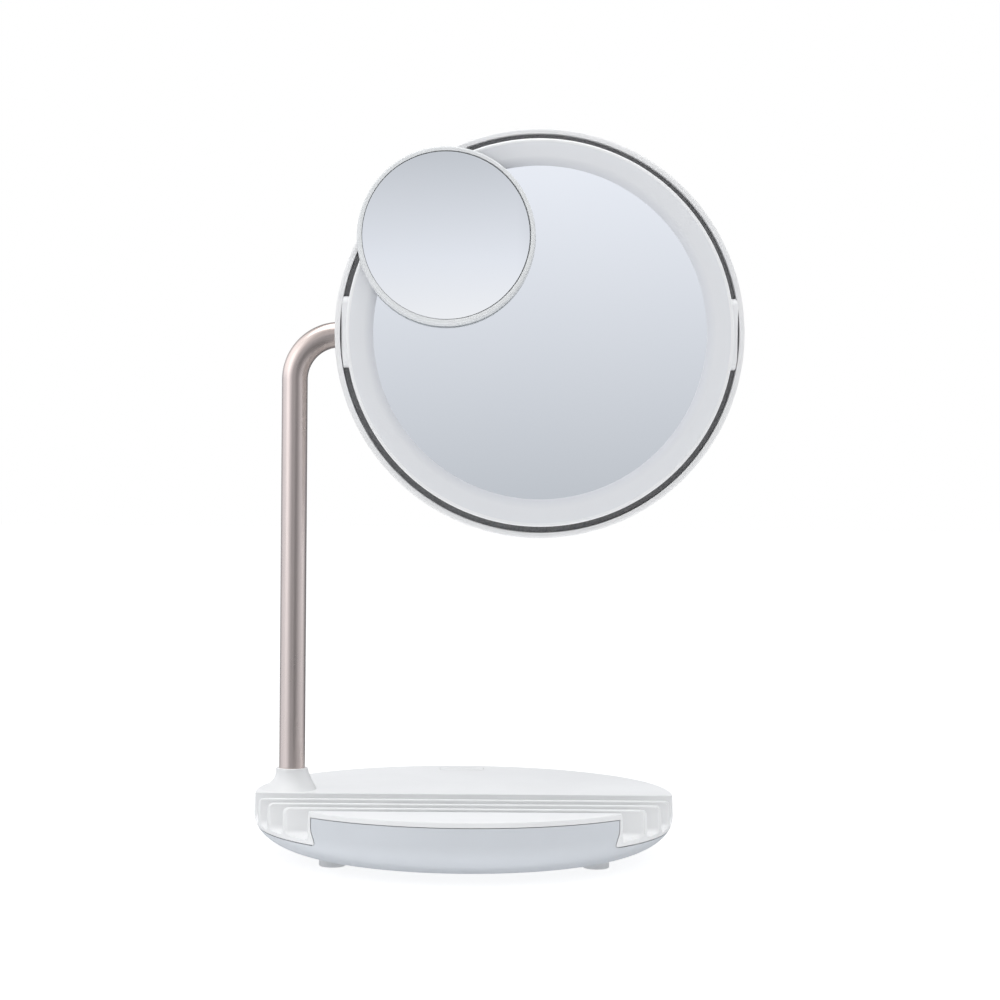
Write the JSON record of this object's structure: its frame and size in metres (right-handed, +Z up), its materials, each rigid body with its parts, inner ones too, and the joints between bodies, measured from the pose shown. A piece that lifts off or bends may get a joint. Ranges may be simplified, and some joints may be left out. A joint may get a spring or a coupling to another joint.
{
  "type": "lighted makeup mirror",
  "caption": "Round lighted makeup mirror tilting in a ring on a bent tube arm, with a magnetic magnifier and a round organizer base with slots.",
  "frame": {"origin": "on the table under the centre of the round base", "axes": "+Z up, -Y towards the person using the mirror, +X to that person's right"},
  "size_m": [0.2377, 0.2039, 0.3548],
  "materials": {
    "white_shell": "smooth satin-gloss moulding",
    "white_panel": "smooth satin-gloss moulding, faintly cool",
    "white_ring": "smooth satin moulding",
    "white_head": "smooth satin moulding",
    "white_magnifier": "smooth satin moulding",
    "white_button": "fine matt moulding",
    "frosted_diffuser": "frosted light diffuser",
    "silvered_glass": "silvered glass",
    "champagne_tube": "satin anodised, warm champagne",
    "grey_rubber": "soft matt rubber",
    "zinc_steel": "bright zinc",
    "inner_plastic": "plain moulding",
    "circuit_board": "white solder mask",
    "cell_wrap": "shrink wrap",
    "lamp_chip": "phosphor lamp chip",
    "lead_jacket": "soft jacket",
    "felt_pad": "short dark felt"
  },
  "bodies": {
    "stand": {"base_upper_shell": "white_shell", "tray_divider_1": "white_shell", "tray_divider_2": "white_shell", "tray_divider_3": "white_shell", "base_lower_shell": "white_panel", "outer_ring": "white_ring", "arm_tube": "champagne_tube", "rubber_feet": "grey_rubber", "friction_washers": "grey_rubber", "shell_screws": "zinc_steel", "board_screws": "zinc_steel", "pivot_axle_left": "zinc_steel", "pivot_pin_right": "zinc_steel", "pivot_clips": "zinc_steel", "charging_port": "zinc_steel", "ballast_plate": "zinc_steel", "arm_retainer": "inner_plastic", "lead_plug": "inner_plastic", "tact_switch": "inner_plastic", "main_circuit_board": "circuit_board", "battery": "cell_wrap", "lamp_lead": "lead_jacket"},
    "head": {"pivot_hub_left": "white_head", "pivot_hub_right": "white_head", "head_back_shell": "white_head", "front_bezel": "white_head", "light_diffuser": "frosted_diffuser", "mirror_glass": "silvered_glass", "mirror_carrier": "inner_plastic", "head_screws": "zinc_steel", "catch_plate": "zinc_steel", "light_board": "circuit_board", "light_chips": "lamp_chip", "head_lead": "lead_jacket"},
    "magnifier": {"magnifier_frame": "white_magnifier", "magnifier_mirror": "silvered_glass", "magnifier_back": "white_magnifier", "magnifier_magnet": "zinc_steel", "magnifier_pad": "felt_pad"},
    "button": {"power_button": "white_button"}
  },
  "joints": [
    {"name": "head_tilt", "type": "hinge", "parent": "stand", "child": "head", "pos_m": [0.0355, 0.006, 0.2545], "axis": [1, 0, 0], "range_deg": [-5, 30]},
    {"name": "magnifier_pull", "type": "slide", "parent": "head", "child": "magnifier", "axis": [0, -1, 0], "range_m": [0, 0.06]},
    {"name": "button_press", "type": "slide", "parent": "stand", "child": "button", "axis": [0, 0, -1], "range_m": [0, 0.001], "stiffness_N_per_m": 400, "springref_m": -0.002}
  ]
}
